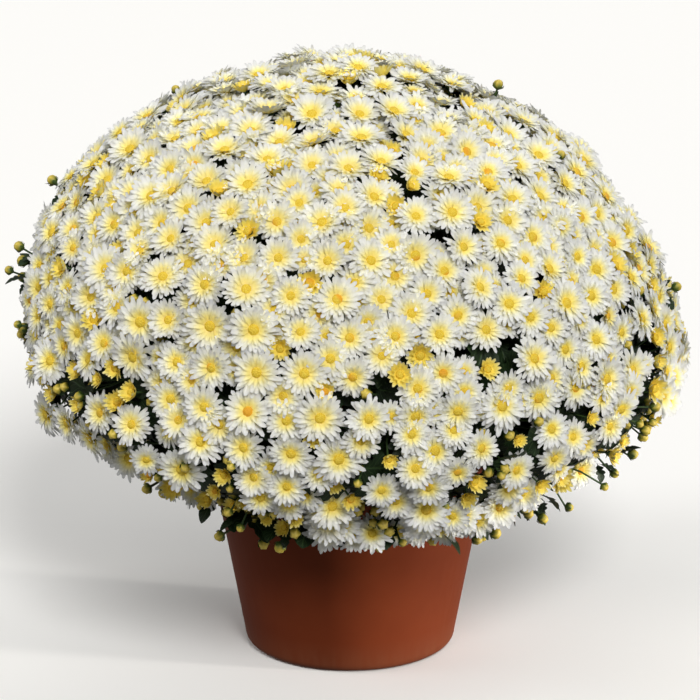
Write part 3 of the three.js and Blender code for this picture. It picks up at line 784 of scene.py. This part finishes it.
YOUNG_PLACES = [
    # across, down and half sizes of the places where many flowers are still half open
    (384, 392, 30, 42), (215, 290, 30, 34), (395, 190, 40, 30), (500, 245, 36, 24), (552, 385, 36, 30),
    (330, 255, 30, 20), (440, 220, 30, 20), (270, 455, 36, 16), (385, 275, 26, 14), (100, 310, 30, 14),
]
# How many flowers are in bud or half open in the barest places, and half open in the young ones.
BUD_SHARE = 0.22
HALF_OPEN_SHARE = 0.58
YOUNG_SHARE = 0.07
# A corner's flower is open, half open, in bud or missing by its draw, which bareness adds to.
OPEN_BELOW = 0.78
HALF_OPEN_BELOW = 0.92
BUDS_BELOW = 1.25
# The flowers of one side opened later than the rest, and are still cream.
CREAM_MIDDLE = Vector((-0.06, -0.2, 0.41))
CREAM_REACH = 0.24
rng = np.random.default_rng(735)


def rising(value, start, span):
    """0 up to a start, then rising to 1 within a span."""
    return min(1, max(0, (value - start) / span))


def falling(value, end, span):
    """0 down to an end, then rising to 1 within a span below it."""
    return min(1, max(0, (end - value) / span))


def bump(value, middle, reach):
    """1 at the middle, and 0 beyond its reach."""
    return max(0, 1 - abs(value - middle) / reach)


def inside(pixel, spot):
    """Whether a pixel of the photograph is in a spot of (across, down, two half sizes)."""
    return ((pixel[0] - spot[0]) / spot[2]) ** 2 + ((pixel[1] - spot[1]) / spot[3]) ** 2 < 1


def bareness(place):
    """How much the leaves show between the flowers: 0 in the dense crown, 1 in the barest places."""
    low = falling(place.z, 0.26, 0.08)
    if place.y < 0:
        pixel = photo_pixel(place)
        return max([0.4 * low, *[spot[4] for spot in THIN_PLACES if inside(pixel, spot)]])
    wave = math.sin(17 * place.x) * math.sin(19 * place.z) + math.sin(13 * place.x + 2)
    return 0.8 if wave > 1.1 and place.z < 0.4 else 0.5 * low


def still_young(place):
    return place.y < 0 and any(inside(photo_pixel(place), spot) for spot in YOUNG_PLACES)


def seat(place, axis, size, turn):
    """The matrix that sets a pattern standing along +Z on a place."""
    stand = axis.to_track_quat("Z", "Y").to_matrix().to_4x4()
    spin = Matrix.Rotation(turn * math.tau, 4, "Z")
    return Matrix.Translation(place) @ stand @ spin @ Matrix.Diagonal((size, size, size, 1))


def swell(place):
    """How far the plant stands out from the even dome, in metres: broad swellings and hollows."""
    x, y, z = place / 0.034
    wave = math.sin(x + 0.8 * z) + math.sin(1.3 * y - 0.9 * z + 1) + math.sin(1.1 * x - 1.4 * y)
    return 0.0024 * wave * max(0.2, falling(place.z, 0.56, 0.1))


def settled(place):
    """Draws the lower flanks in, most on the left, and lets the crown's shoulders down a little."""
    low = bump(place.z, 0.17, 0.07)
    share = (0.24 if place.x < 0 else 0.1) * min(1, abs(place.x) / 0.2)
    out = math.hypot(place.x, place.y)
    sunk = 0.01 * bump(out, 0.125, 0.065) - 0.004 * bump(out, 0, 0.06) if place.z > 0.4 else 0
    return Vector((place.x * (1 - share * low), place.y, place.z - sunk))


flowers_of, stalks_of, buds_of = ({name: [] for name, _ in sprays} for _ in range(3))


def crowding(place):
    """1 in the crown, where the flowers are broad enough to hide the leaves, 0 towards the hem."""
    return rising(place.z, 0.25, 0.07)


def crown_cup(place):
    """How much the petals near the top stand up, so that their sides hide the eye from below."""
    return 0.11 * rising(place.z, 0.4, 0.08)


def set_flower(place, axis, size, turn, youth, spray):
    half_open = youth > 1
    shape = young_shape if half_open else open_shape
    if half_open:
        points = shape.grown(rng, 0.3 + 0.5 * (youth - 1.5))
        youth -= 1
    else:
        points = shape.grown(rng, 0.3 * youth - 0.05 + 0.06 * rng.normal() + crown_cup(place))
    made = copy_of(shape.flower, seat(place, axis, size, turn), points)
    mark(made.data, youth=youth)
    flowers_of[spray].append(made)
    stalks_of[spray].append((place, axis, size))


def face_out(axis, place):
    """Turns a flower a little to the sunny front, and one near the hem up, away from the ground."""
    low = falling(place.z, 0.24, 0.06)
    forward = 0.22 * max(0.2, falling(place.z, 0.55, 0.15))
    return (axis + Vector((0, -forward, 0.9 * low)) + random_way(0.11)).normalized()


def set_buds(place, axis, count):
    for _ in range(count):
        aside = random_way(1)
        lean = (axis + aside * 0.3).normalized()
        size = (3.8 + 1.6 * rng.random()) * MM
        buds_of[spray_of(place)].append((place + aside * 0.007, lean, size))


def random_way(size):
    return Vector(rng.normal(size=3)) * size


def creaminess(place):
    return 0.63 * bump((place - CREAM_MIDDLE).length, 0, CREAM_REACH)


for place, axis, radius, turn, row in blooms:
    bare = bareness(place)
    axis = face_out(axis, place)
    place = settled(place) + axis * (swell(place) + 0.0022 * rng.normal() - 0.004 * bare)
    size = radius * (0.97 + 0.03 * crowding(place) - 0.12 * bare + 0.05 * rng.normal())
    youth = 0.35 * rng.random() ** 1.6 + creaminess(place)
    fate = rng.random()
    if fate < BUD_SHARE * bare:
        set_buds(place - axis * 0.003, axis, 2)
        continue
    if fate < max(HALF_OPEN_SHARE * bare, YOUNG_SHARE * still_young(place)):
        youth = 1.4 + 0.6 * rng.random()
        size *= 0.5 + 0.2 * rng.random()
    set_flower(place, axis, size, turn, youth, spray_of(place))

for i, (arc, turn, row) in enumerate(core):
    at = dome_point(arc, turn, -4 * spread(i, 1, 31))
    place = at[0] * MM
    bare = bareness(place)
    axis = face_out(flower_axis(at, 0.3 * spread(i, 2, 31), 0.3 * spread(i, 3, 31)), place)
    place = settled(place) + axis * (swell(place) - 0.004 * bare)
    spray = spray_of(place)
    kind = draw(i, 4, 31) + 0.6 * bare + 0.28 * (bare == 0 and still_young(place))
    if kind < OPEN_BELOW:
        size = (15 + 1.5 * crowding(place) + 4 * draw(i, 5, 31)) * MM
        youth = 0.36 * draw(i, 7, 31) + creaminess(place)
        place = place - axis * (0.001 + 0.003 * draw(i, 8, 31))
        set_flower(place, axis, size, draw(i, 6, 31), youth, spray)
    elif kind < HALF_OPEN_BELOW:
        size = (11 + 4 * draw(i, 5, 31)) * MM
        youth = 1.2 + 0.8 * draw(i, 7, 31)
        set_flower(place - axis * 0.002, axis, size, draw(i, 6, 31), youth, spray)
    elif kind < BUDS_BELOW:
        sunk = 0.002 + 0.006 * rising(place.z, 0.3, 0.1)
        set_buds(place - axis * sunk, axis, 1 + int(2.6 * rng.random()))

# In the crown smaller flowers fill the room between each flower and the next one of its row.
for (place, axis, _, turn, row), (beside, _, _, _, row_beside) in zip(blooms, blooms[1:]):
    between = (place + beside) / 2
    if row != row_beside or between.z < 0.3 or bareness(between) > 0 or rng.random() < 0.25:
        continue
    axis = face_out(axis, between)
    place = settled(between) + axis * (swell(between) - 0.003 - 0.003 * rng.random())
    size = (13 + 3 * rng.random()) * MM
    set_flower(place, axis, size, turn, 0.36 * rng.random() + creaminess(place), spray_of(place))

# A few sprigs stand clear of the dome, each with one bud: across, back and height.
SPRIGS = [
    (-0.302, 0.01, 0.342), (-0.288, -0.01, 0.356), (-0.292, 0.03, 0.33), (-0.166, -0.03, 0.147),
    (-0.152, -0.03, 0.149), (-0.131, -0.05, 0.142), (-0.128, -0.09, 0.168), (0.196, -0.02, 0.13),
    (0.171, -0.05, 0.13), (0.158, -0.06, 0.138), (0.127, -0.1, 0.134), (0.115, -0.12, 0.138),
    (0.142, -0.09, 0.15), (0.276, 0, 0.212), (0.29, 0.03, 0.222), (0.252, -0.02, 0.18),
    (0.235, -0.03, 0.165), (0.025, -0.187, 0.152), (-0.06, -0.18, 0.15), (0.262, 0.02, 0.2),
    (-0.29, -0.02, 0.372), (-0.287, -0.03, 0.3), (-0.283, -0.02, 0.288), (0.287, -0.02, 0.335),
    (-0.262, 0.01, 0.424), (0.13, 0.02, 0.508),
]
sprigs = []
for k, spot in enumerate(SPRIGS):
    place = Vector(spot)
    axis = (place - hub + Vector((0, 0, 0.06)) + random_way(0.05)).normalized()
    sprigs.append((place, axis))
    buds_of[spray_of(place)].append((place, axis, (4.4 + 1.6 * draw(k, 0, 41)) * MM))

for name, parts in flowers_of.items():
    finish_piece(join_up(parts), name.replace("spray", "flowers"), "blooms", name)
for pattern in (outer_petal, middle_petal, inner_petal, eye, cup_petal, cup_inner_petal, young_eye,
                flower, young_flower):
    bpy.data.objects.remove(pattern)

# The stalks.
# Each flower and bud sits in a green cup on a thin stalk. The stalks of a spray fork from a few
# stronger branches that meet at its neck, so the sprays hold the dome from inside.
FORK_SHARE = 0.42
FLOWERS_PER_FORK = 7
BRANCH_RADIUS = 0.0019
STALK_RADIUS = 0.0009
STALK_STEPS = 4


def bend(start, leave, arrive, end, steps):
    """Places on a smooth bend between two places, through its two handles."""
    places = []
    for k in range(steps + 1):
        t = k / steps
        places.append(start * (1 - t) ** 3 + leave * 3 * t * (1 - t) ** 2
                      + arrive * 3 * t * t * (1 - t) + end * t ** 3)
    return places


def stems_from(paths, sides):
    """A mesh of round stems from lists of (place, radius), drawn as curves with a thickness."""
    curve = bpy.data.curves.new("stems", "CURVE")
    curve.dimensions = "3D"
    curve.bevel_depth = 1
    curve.bevel_resolution = (sides - 4) // 2
    curve.use_fill_caps = True
    for path in paths:
        line = curve.splines.new("POLY")
        line.points.add(len(path) - 1)
        for point, (place, radius) in zip(line.points, path):
            point.co = (*place, 1)
            point.radius = radius
    stems = bpy.data.objects.new("stems", curve)
    bpy.context.collection.objects.link(stems)
    take(stems)
    bpy.ops.object.convert(target="MESH")
    made = bpy.context.object
    bpy.ops.object.shade_smooth()
    bpy.context.collection.objects.unlink(made)
    return made


def tapered(places, first, last):
    steps = len(places) - 1
    return [(place, first + (last - first) * k / steps) for k, place in enumerate(places)]


def green_paint(name, dark, light, roughness):
    skin = Paint(name, roughness)
    skin.set("Base Color", skin.ramp(skin.noise(70, 3), (0.35, dark), (0.7, light)))
    skin.relief(skin.noise(700, 2), 0.2, 0.0003)
    return skin


stalk_green = green_paint("stalk_green", (0.02, 0.05, 0.012), (0.05, 0.1, 0.022), 0.6)
cup = turned([(0.05, -0.2), (0.2, -0.09), (0.25, 0.03), (0.12, 0.05)], 7)
bpy.ops.object.shade_smooth()
stalk_green.cover(cup)

# The buds.
# Small yellow-green globes of tight, folded petals, with five sepals round the foot. Each stands on
# a stalk of its own, alone or in a small group, and the darker folds run from foot to tip.
BUD_SIDES = 10
SEPALS = 5
bud = turned([(0.12, -0.9), (0.7, -0.66), (0.98, -0.05), (0.8, 0.55), (0.3, 0.9)], BUD_SIDES)
bpy.ops.object.mode_set(mode="EDIT")
pick(bud.data, lambda co: co.z > -0.1 and round(math.atan2(co.x, co.y) / math.tau * BUD_SIDES) % 2)
bpy.ops.transform.resize(value=(0.8, 0.8, 0.97), center_override=(0, 0, 0))
bpy.ops.object.mode_set(mode="OBJECT")
bpy.ops.object.shade_smooth()
x, y, z = points_of(bud.data).T
mark(bud.data, rise=(z + 0.9) / 1.8, rib=np.round(np.arctan2(x, y) / math.tau * BUD_SIDES) % 2)
sepal = strap([(0, 0.3, 0, 0, 0), (0.95, 0.34, 0.42, 0.1, 0), (1.06, 0.06, 1, 0, 0)])
mark(sepal.data, rise=0.05, rib=0)
under = Matrix.Translation((0, 0, -0.95))
parts = [copy_of(bud, Matrix.Identity(4))]
for k in range(SEPALS):
    parts.append(copy_of(sepal, under @ Matrix.Rotation(k / SEPALS * math.tau, 4, "Z")))
whole_bud = join_up(parts)

skin = Paint("bud_skin", 0.5)
cloud = skin.noise(260, 2)
mixed = skin.maths("MULTIPLY_ADD", cloud, 0.35, skin.written("rise"))
tone = skin.ramp(
    skin.maths("MULTIPLY_ADD", skin.written("rib"), -0.22, mixed),
    (0.2, (0.045, 0.09, 0.015)),
    (0.5, (0.2, 0.22, 0.03)),
    (0.8, (0.52, 0.4, 0.045)),
    (1, (0.72, 0.56, 0.1)),
)
skin.set("Base Color", tone)
skin.relief(cloud, 0.4, 0.0008)
skin.cover(whole_bud)

# Each spray's stalks and buds, on the branches from its neck.
for name, _ in sprays:
    neck = necks[name]
    ends = [(place - axis * 0.18 * size, axis) for place, axis, size in stalks_of[name]]
    ends += [(place - axis * 0.9 * size, axis) for place, axis, size in buds_of[name]]
    forks = [end.lerp(neck, FORK_SHARE) for end, _ in ends[::FLOWERS_PER_FORK]]
    paths = []
    for fork in forks:
        out = (fork - hub).normalized()
        paths.append(tapered(bend(neck, neck.lerp(fork, 0.4), fork - out * 0.03, fork, 3),
                             BRANCH_RADIUS, BRANCH_RADIUS * 0.7))
    for end, axis in ends:
        fork = min(forks, key=lambda f: (f - end).length)
        out = (fork - hub).normalized()
        places = bend(fork - out * 0.004, fork + out * 0.02, end - axis * 0.022, end, STALK_STEPS)
        paths.append(tapered(places, STALK_RADIUS, STALK_RADIUS))
    parts = [stems_from(paths, 4)]
    stalk_green.cover(parts[0])
    for place, axis, size in stalks_of[name]:
        parts.append(copy_of(cup, seat(place, axis, size, 0)))
    finish_piece(join_up(parts), name.replace("spray", "stalks"), "foliage", name)
    parts = []
    for place, axis, size in buds_of[name]:
        parts.append(copy_of(whole_bud, seat(place, axis, size, rng.random())))
    if parts:
        finish_piece(join_up(parts), name.replace("spray", "buds"), "blooms", name)

# The leaves.
# Dark green blades with rounded lobes and a folded midrib. They fill the dome under the flowers,
# show in the gaps, and hang out below the hem.
LEAF_ROWS = [
    (0, 0.014, 0, 0, 0),
    (0.14, 0.03, 0.01, 0, 0),
    (0.22, 0.13, 0.015, 0.02, -0.01),
    (0.31, 0.27, 0.02, 0.05, -0.05),
    (0.37, 0.25, 0.022, 0.05, -0.05),
    (0.42, 0.15, 0.024, 0.03, 0),
    (0.52, 0.28, 0.024, 0.06, -0.05),
    (0.61, 0.31, 0.02, 0.06, -0.06),
    (0.67, 0.19, 0.012, 0.04, 0),
    (0.77, 0.24, 0, 0.04, -0.04),
    (0.86, 0.19, -0.02, 0.03, -0.02),
    (0.95, 0.11, -0.05, 0.01, 0),
    (1, 0.03, -0.07, 0, 0.01),
]
leaf = strap(LEAF_ROWS)
leaf_points = points_of(leaf.data)
UPWARD = Vector((0, 0, 1))

blade = Paint("leaf_green", 0.5)
blade.set("Specular IOR Level", 0.3)
# The veins slant from the midrib to the edge.
surface = blade.add("SeparateXYZ", {0: blade.sheet()})
off_rib = blade.maths("ABSOLUTE", blade.maths("SUBTRACT", surface.outputs["Y"], 0.5))
slant = blade.maths("MULTIPLY_ADD", off_rib, -0.35, surface.outputs["X"])
wave = blade.maths("PINGPONG", blade.maths("MULTIPLY", slant, 9), 0.5)
drawn = blade.maths("MULTIPLY", blade.span(wave, 0, 0.1), blade.span(off_rib, 0.01, 0.05))
tone = blade.ramp(blade.noise(45, 4), (0.3, (0.006, 0.015, 0.005)), (0.72, (0.014, 0.034, 0.009)))
blade.set("Base Color", blade.mix(drawn, (0.028, 0.06, 0.017), tone))
blade.relief(drawn, 0.5, 0.0006)
blade.cover(leaf)


def set_leaf(place, way, face, length):
    """A leaf that grows from a place along a way, with its upper side turned to face."""
    way = way.normalized()
    aside = face.cross(way).normalized()
    face = way.cross(aside)
    stand = Matrix((way, aside, face)).transposed().to_4x4()
    x, y, z = leaf_points.T
    curl = 0.12 + 0.14 * rng.random()
    twist = 0.25 * rng.normal()
    points = np.stack([x, y * (0.85 + 0.3 * rng.random()), z - curl * x * x + twist * x * y], axis=1)
    size = Matrix.Diagonal((length, length, length, 1))
    return copy_of(leaf, Matrix.Translation(place) @ stand @ size, points.astype(np.float32))


def leaf_at(arc, turn, depth, length, lift):
    """A leaf under the dome's skin, lying at a random turn and lifted a little outwards."""
    place, normal, along, down = dome_point(min(arc, HEM_ARC), turn, depth)
    place = settled(place * MM)
    angle = rng.random() * math.tau
    flat = along * math.cos(angle) + down * math.sin(angle)
    way = flat * math.cos(lift) + normal * math.sin(lift)
    return set_leaf(place - way * length * 0.5, way, normal, length)


leaves_of = {name: [] for name, _ in sprays}
for i, (arc, turn, row) in enumerate(core):
    here = dome_point(arc, turn, 0)[0] * MM
    open_gap = bareness(here) > 0.55
    for k in range(3 if open_gap else 2):
        depth = (6 + 12 * rng.random()) if open_gap and k else (14 + 22 * rng.random())
        made = leaf_at(arc + 14 * rng.normal(), turn + 0.012 * rng.normal(), depth,
                       (34 + 16 * rng.random()) * MM, 0.3 + 0.3 * rng.random())
        leaves_of[spray_of(here)].append(made)
    deep = leaf_at(arc, turn, 34 + 16 * rng.random(), (48 + 12 * rng.random()) * MM, 0.1)
    leaves_of[spray_of(here)].append(deep)
for place, axis in sprigs:
    for _ in range(2):
        start = place - axis * (0.012 + 0.016 * rng.random())
        way = axis + random_way(0.6)
        made = set_leaf(start, way, UPWARD, (15 + 8 * rng.random()) * MM)
        leaves_of[spray_of(place)].append(made)
for name, parts in leaves_of.items():
    finish_piece(join_up(parts), name.replace("spray", "leaves"), "foliage", name)

# The stems.
# Seven woody green stems rise from the potting mix. The middle one carries the crown. The others
# each fork to an upper and a lower spray, and send a leafy twig with buds over the pot's rim.
STEM_CIRCLE = 40
STEM_FOOT = 96
STEM_RADIUS = 0.006
STEM_BRANCH_RADIUS = 0.0038
TWIG_RADIUS = 0.0024
TWIG_STEPS = 12
FORK_STEPS = 10
STEM_BUD_SIZE = 0.0052
# A twig's start, its bend's two handles and its end: distance from the middle and height.
TWIG_PLACES = [(46, 187), (100, 198), (149, 199.5), (151, 160)]
# The same for its buds, and their turn aside.
FIRST_BUD = (176, 147, 0.016)
SECOND_BUD = (178, 150, -0.018)
BUD_SPREAD = 12
SKIRT_LEAVES = [
    # place along the twig, turn, reach and drop of its way, and length in millimetres
    (0.66, -0.16, 0.9, -0.05, 34),
    (0.73, 0.17, 0.9, -0.1, 36),
    (0.8, -0.07, 0.9, -0.15, 32),
    (0.88, 0.06, 0.9, -0.2, 30),
    (0.55, -0.12, 0.9, 0.15, 34),
    (0.6, 0.1, 0.9, 0.05, 36),
    (0.95, -0.12, 0.7, -0.4, 24),
    (0.92, 0.15, 0.8, -0.1, 26),
]


def foot_of(circle, turn):
    return [polar(circle, turn, STEM_FOOT) * MM, polar(circle, turn, 170) * MM]


def reach_to(name, start):
    neck = necks[name]
    axis = (neck - hub).normalized()
    end = neck - axis * FIT
    return bend(start, start + UPWARD * 0.018, end - axis * 0.028, end, FORK_STEPS)


stem_bark = green_paint("stem_bark", (0.035, 0.04, 0.015), (0.09, 0.1, 0.035), 0.75)
middle_path = foot_of(0, 0) + [Vector((0.004, 0.003, 0.29)), necks["spray_crown"] - UPWARD * FIT]
middle_stem = stems_from([tapered(middle_path, STEM_RADIUS, STEM_BRANCH_RADIUS)], 10)
stem_bark.cover(middle_stem)
finish_piece(join_up([middle_stem]), "middle_stem", "foliage", "stem_middle")

for k in range(6):
    turn = k / 6
    upward = reach_to(f"spray_upper_{k + 1}", polar(62, turn, 226) * MM)
    sideways = reach_to(f"spray_lower_{k + 1}", polar(53, turn, 204) * MM)
    foot = foot_of(STEM_CIRCLE, turn)
    places = [polar(circle, turn, height) * MM for circle, height in TWIG_PLACES]
    twig = bend(*places, TWIG_STEPS)
    circle, height, aside = FIRST_BUD
    first_bud = polar(circle + BUD_SPREAD * draw(k, 0, 22), turn + aside, height) * MM
    circle, height, aside = SECOND_BUD
    second_bud = polar(circle + BUD_SPREAD * draw(k, 1, 22), turn + aside, height) * MM
    elbow = polar(164, turn + aside / 2, 158) * MM
    rise = UPWARD * 0.02
    joint = bend(foot[-1], foot[-1] + rise, upward[0] - rise, upward[0], 4)
    stems = stems_from([
        tapered(foot + joint[1:] + upward[1:], STEM_RADIUS, STEM_BRANCH_RADIUS),
        tapered(sideways, STEM_BRANCH_RADIUS, TWIG_RADIUS),
        tapered(twig + [first_bud], TWIG_RADIUS, 0.0012),
        tapered([twig[-3], elbow, second_bud], 0.0014, 0.0011),
    ], 8)
    stem_bark.cover(stems)
    parts = [stems]
    for tip, before in ((first_bud, twig[-1]), (second_bud, elbow)):
        parts.append(copy_of(whole_bud, seat(tip, (tip - before).normalized(), STEM_BUD_SIZE, 0)))
    for at, aside, out, drop, length in SKIRT_LEAVES:
        start = twig[min(TWIG_STEPS, round(at * TWIG_STEPS))]
        parts.append(set_leaf(start, polar(out, turn + aside, drop), UPWARD, length * MM))
    finish_piece(join_up(parts), f"stem_{k + 1}", "foliage", f"leafy_stem_{k + 1}")

# The hem leaves.
# Below the lowest flowers the stems carry a ring of older leaves. They lie almost flat round the pot
# and close the dome from below, so no sky shows through it.
HEM_LEAVES = 220
HEM_START = 128
HEM_WIDTH = 62
parts = []
for k in range(HEM_LEAVES):
    turn = (k + 0.6 * rng.random()) / HEM_LEAVES
    out = HEM_START + HEM_WIDTH * rng.random()
    height = 192 - 20 * (out - HEM_START) / HEM_WIDTH + 6 * rng.normal()
    place = settled(polar(out, turn, height) * MM)
    way = polar(1, turn + 0.16 * rng.normal(), 0.35 * rng.normal())
    parts.append(set_leaf(place, way, UPWARD, (26 + 12 * rng.random()) * MM))
finish_piece(join_up(parts), "hem_leaves", "foliage")

for pattern in (cup, bud, sepal, whole_bud, leaf):
    bpy.data.objects.remove(pattern)
